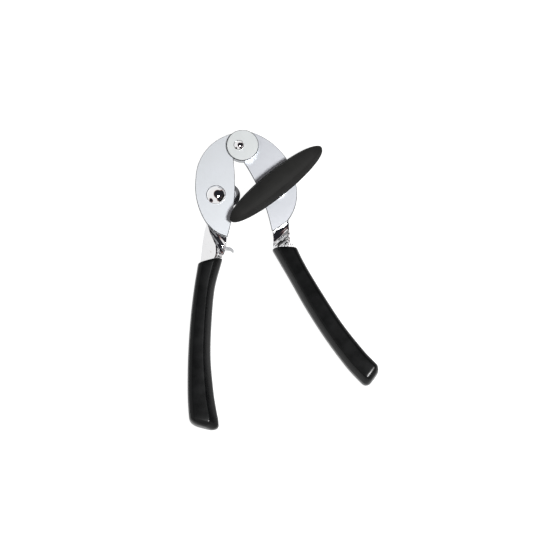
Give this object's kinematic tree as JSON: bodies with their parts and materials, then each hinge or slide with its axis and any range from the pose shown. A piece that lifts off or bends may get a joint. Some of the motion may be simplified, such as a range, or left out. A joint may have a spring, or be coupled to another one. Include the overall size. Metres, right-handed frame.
{
  "type": "manual can opener",
  "caption": "Pliers-style manual can opener: crescent jaw plates on a pivot disc, cutter and feed wheels, long oval turning knob and rubber-gripped handles.",
  "frame": {"origin": "centre of the pivot rivet's flat back face", "axes": "+Z along the pivot axis towards the knob, +Y away from the handles, +X towards the right arm"},
  "size_m": [0.1215, 0.1968, 0.026],
  "materials": {
    "satin_steel": "satin, fine grained",
    "mirror_chrome": "mirror polish",
    "tool_steel": "ground and hardened",
    "zinc_steel": "plain zinc plate",
    "black_rubber": "matte, soft touch",
    "black_plastic": "satin moulded",
    "nylon": "natural"
  },
  "bodies": {
    "left_arm": {"left_jaw_plate": "satin_steel", "left_neck": "mirror_chrome", "left_grip": "black_rubber", "left_neck_screws": "zinc_steel", "cap_lifter_tab": "satin_steel", "pivot_rivet": "mirror_chrome", "pivot_back_washer": "zinc_steel", "pivot_friction_washer": "nylon", "pivot_cover_disc": "satin_steel", "dome_rivet": "mirror_chrome", "cutter_carrier": "zinc_steel", "cutter_axle": "zinc_steel", "cutter_washer": "zinc_steel"},
    "right_arm": {"right_jaw_plate": "satin_steel", "right_neck": "mirror_chrome", "right_grip": "black_rubber", "right_neck_screws": "zinc_steel", "shaft_bush": "mirror_chrome"},
    "knob": {"knob": "black_plastic", "knob_key": "zinc_steel", "drive_shaft": "tool_steel", "feed_wheel": "tool_steel", "thrust_washer": "zinc_steel", "feed_wheel_screw": "zinc_steel"},
    "cutter": {"cutter_wheel": "tool_steel"}
  },
  "joints": [
    {"name": "handle_pivot", "type": "hinge", "parent": "left_arm", "child": "right_arm", "pos_m": [0, 0, 0], "axis": [0, 0, 1], "range_deg": [-20, 25]},
    {"name": "knob_turn", "type": "hinge", "parent": "right_arm", "child": "knob", "pos_m": [0.024, -0.0269, 0], "axis": [0, 0, 1], "continuous": true},
    {"name": "cutter_spin", "type": "hinge", "parent": "left_arm", "child": "cutter", "pos_m": [-0.0074, -0.0302, 0], "axis": [0, 0, 1], "continuous": true}
  ]
}
